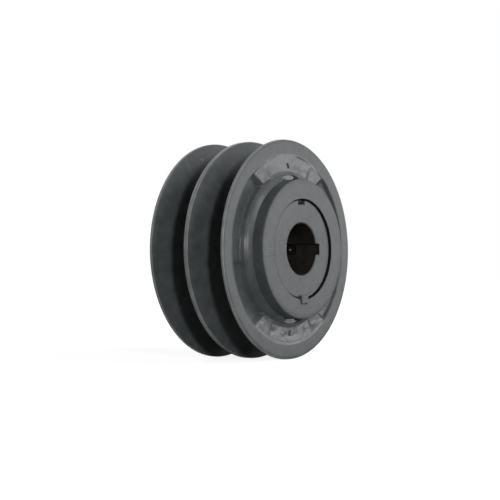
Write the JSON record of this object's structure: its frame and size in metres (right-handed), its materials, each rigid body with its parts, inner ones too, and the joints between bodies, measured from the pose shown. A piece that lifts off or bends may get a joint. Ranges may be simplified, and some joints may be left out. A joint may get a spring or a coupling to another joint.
{
  "type": "adjustable v belt pulley",
  "caption": "Adjustable V-belt pulley: threaded barrel with a fixed centre flange, and outer flanges that screw along it and lock with keys and setscrews.",
  "frame": {"origin": "on the shaft axis, in the middle of the fixed centre flange", "axes": "+Y along the shaft axis towards the rear flange, +Z at twelve o'clock over the lock setscrews, +X at three o'clock over the bore keyway"},
  "size_m": [0.1206, 0.07, 0.1206],
  "materials": {
    "cast_painted": "satin grey paint over cast iron",
    "key_painted": "satin grey paint over key steel",
    "setscrew_steel": "black oxide"
  },
  "bodies": {
    "hub_barrel": {"hub_barrel": "cast_painted"},
    "front_flange": {"front_flange": "cast_painted"},
    "rear_flange": {"rear_flange": "cast_painted"},
    "front_flange_key": {"front_flange_key": "key_painted"},
    "rear_flange_key": {"rear_flange_key": "key_painted"},
    "front_key_setscrew": {"front_key_setscrew": "setscrew_steel"},
    "rear_key_setscrew": {"rear_key_setscrew": "setscrew_steel"},
    "front_lock_setscrew": {"front_lock_setscrew": "setscrew_steel"},
    "rear_lock_setscrew": {"rear_lock_setscrew": "setscrew_steel"},
    "shaft_setscrew": {"shaft_setscrew": "setscrew_steel"}
  },
  "joints": [
    {"name": "front_flange_adjust", "type": "slide", "parent": "hub_barrel", "child": "front_flange", "axis": [0, -1, 0], "range_m": [-0.00508, 0.00254]},
    {"name": "front_key_pull", "type": "slide", "parent": "front_flange", "child": "front_flange_key", "axis": [0, -1, 0], "range_m": [0, 0.016]},
    {"name": "front_key_setscrew_back_off", "type": "slide", "parent": "front_flange", "child": "front_key_setscrew", "axis": [0, 0, -1], "range_m": [0, 0.00381]},
    {"name": "front_lock_setscrew_back_off", "type": "slide", "parent": "front_flange", "child": "front_lock_setscrew", "axis": [0, 0, 1], "range_m": [0, 0.00508]},
    {"name": "rear_flange_adjust", "type": "slide", "parent": "hub_barrel", "child": "rear_flange", "axis": [0, 1, 0], "range_m": [-0.00508, 0.00254]},
    {"name": "rear_key_pull", "type": "slide", "parent": "rear_flange", "child": "rear_flange_key", "axis": [0, 1, 0], "range_m": [0, 0.016]},
    {"name": "rear_key_setscrew_back_off", "type": "slide", "parent": "rear_flange", "child": "rear_key_setscrew", "axis": [0, 0, -1], "range_m": [0, 0.00381]},
    {"name": "rear_lock_setscrew_back_off", "type": "slide", "parent": "rear_flange", "child": "rear_lock_setscrew", "axis": [0, 0, 1], "range_m": [0, 0.00508]},
    {"name": "shaft_setscrew_turn", "type": "slide", "parent": "hub_barrel", "child": "shaft_setscrew", "axis": [1, 0, 0], "range_m": [-0.001, 0.0005]}
  ]
}
